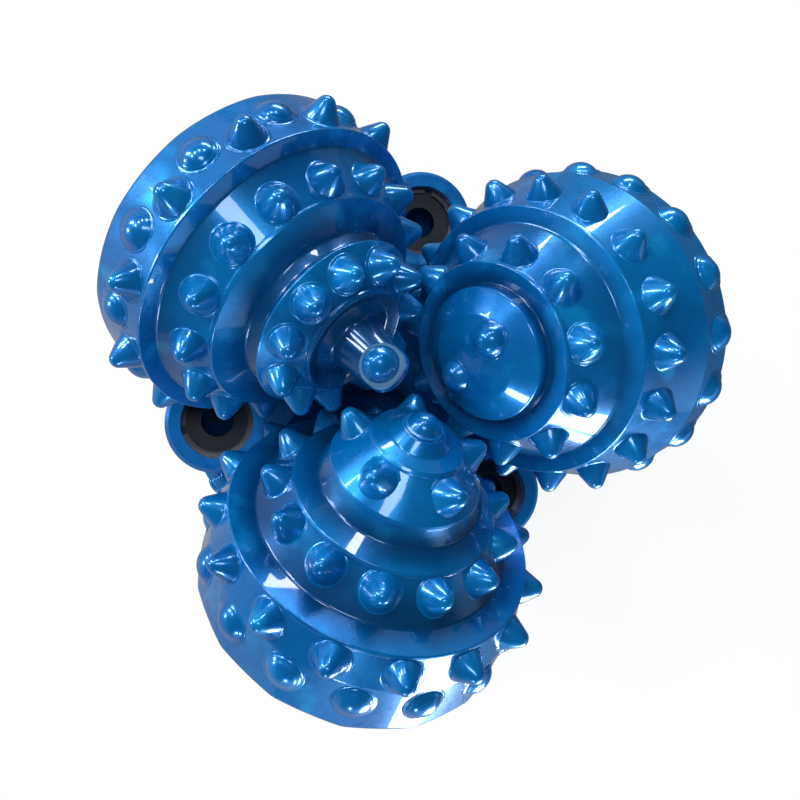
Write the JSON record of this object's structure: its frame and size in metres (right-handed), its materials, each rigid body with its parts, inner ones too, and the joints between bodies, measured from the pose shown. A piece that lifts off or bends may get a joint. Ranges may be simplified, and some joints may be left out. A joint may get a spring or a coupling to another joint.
{
  "type": "three-cone rock bit",
  "caption": "Three-cone roller drill bit with pressed-in inserts, sealed journal bearings, grease reservoirs, jet nozzles and a tapered threaded pin.",
  "frame": {"origin": "centre of the pin end face, on the bit axis", "axes": "+Z along the bit axis from the pin end to the cones; cone B lies at 30 degrees from +X, cone A at 150 and cone C at 270, seen from above"},
  "size_m": [0.2084, 0.1996, 0.2515],
  "materials": {
    "blue_enamel": "thick gloss enamel, dipped or sprayed over every outer surface",
    "bearing_steel": "ground and polished",
    "bearing_bronze": "machined bearing bronze",
    "seal_rubber": "smooth moulded rubber",
    "spring_steel": "oiled spring steel",
    "nozzle_carbide": "ground carbide",
    "plug_steel": "turned steel"
  },
  "bodies": {
    "bit_body": {"leg_a": "blue_enamel", "leg_a_ball_plug": "plug_steel", "leg_a_nozzle_boss": "blue_enamel", "leg_a_reservoir_cap": "blue_enamel", "leg_a_reservoir_diaphragm": "seal_rubber", "leg_a_reservoir_snap_ring": "spring_steel", "leg_b": "blue_enamel", "leg_b_ball_plug": "plug_steel", "leg_b_nozzle_boss": "blue_enamel", "leg_b_reservoir_cap": "blue_enamel", "leg_b_reservoir_diaphragm": "seal_rubber", "leg_b_reservoir_snap_ring": "spring_steel", "leg_c": "blue_enamel", "leg_c_ball_plug": "plug_steel", "leg_c_nozzle_boss": "blue_enamel", "leg_c_reservoir_cap": "blue_enamel", "leg_c_reservoir_diaphragm": "seal_rubber", "leg_c_reservoir_snap_ring": "spring_steel", "nozzle_a": "nozzle_carbide", "nozzle_a_snap_ring": "spring_steel", "nozzle_b": "nozzle_carbide", "nozzle_b_snap_ring": "spring_steel", "nozzle_c": "nozzle_carbide", "nozzle_c_snap_ring": "spring_steel", "nozzle_seals": "seal_rubber"},
    "cone_a": {"cone_a_gauge_inserts": "blue_enamel", "cone_a_heel_inserts": "blue_enamel", "cone_a_inner_inserts": "blue_enamel", "cone_a_journal_bushing": "bearing_bronze", "cone_a_journal_seal": "seal_rubber", "cone_a_middle_inserts": "blue_enamel", "cone_a_nose_inserts": "blue_enamel", "cone_a_shell": "blue_enamel", "cone_a_thrust_washer": "bearing_bronze"},
    "ball_set_a": {"cone_a_balls": "bearing_steel"},
    "cone_b": {"cone_b_gauge_inserts": "blue_enamel", "cone_b_heel_inserts": "blue_enamel", "cone_b_journal_bushing": "bearing_bronze", "cone_b_journal_seal": "seal_rubber", "cone_b_middle_inserts": "blue_enamel", "cone_b_nose_inserts": "blue_enamel", "cone_b_shell": "blue_enamel", "cone_b_thrust_washer": "bearing_bronze"},
    "ball_set_b": {"cone_b_balls": "bearing_steel"},
    "cone_c": {"cone_c_gauge_inserts": "blue_enamel", "cone_c_heel_inserts": "blue_enamel", "cone_c_inner_inserts": "blue_enamel", "cone_c_journal_bushing": "bearing_bronze", "cone_c_journal_seal": "seal_rubber", "cone_c_middle_inserts": "blue_enamel", "cone_c_nose_inserts": "blue_enamel", "cone_c_shell": "blue_enamel", "cone_c_thrust_washer": "bearing_bronze"},
    "ball_set_c": {"cone_c_balls": "bearing_steel"}
  },
  "joints": [
    {"name": "cone_a_spin", "type": "hinge", "parent": "bit_body", "child": "cone_a", "pos_m": [-0.00205, -0.00355, 0.24], "axis": [0.7006, -0.4045, 0.5878], "continuous": true},
    {"name": "ball_set_a_spin", "type": "hinge", "parent": "bit_body", "child": "ball_set_a", "pos_m": [-0.00205, -0.00355, 0.24], "axis": [0.7006, -0.4045, 0.5878], "continuous": true},
    {"name": "cone_b_spin", "type": "hinge", "parent": "bit_body", "child": "cone_b", "pos_m": [-0.00205, 0.00355, 0.24], "axis": [-0.7006, -0.4045, 0.5878], "continuous": true},
    {"name": "ball_set_b_spin", "type": "hinge", "parent": "bit_body", "child": "ball_set_b", "pos_m": [-0.00205, 0.00355, 0.24], "axis": [-0.7006, -0.4045, 0.5878], "continuous": true},
    {"name": "cone_c_spin", "type": "hinge", "parent": "bit_body", "child": "cone_c", "pos_m": [0.0041, 0, 0.24], "axis": [0, 0.809, 0.5878], "continuous": true},
    {"name": "ball_set_c_spin", "type": "hinge", "parent": "bit_body", "child": "ball_set_c", "pos_m": [0.0041, 0, 0.24], "axis": [0, 0.809, 0.5878], "continuous": true}
  ],
  "couplings": [
    {"joint": "ball_set_a_spin", "follows": "cone_a_spin", "ratio": 0.6132},
    {"joint": "ball_set_b_spin", "follows": "cone_b_spin", "ratio": 0.6132},
    {"joint": "ball_set_c_spin", "follows": "cone_c_spin", "ratio": 0.6132}
  ]
}
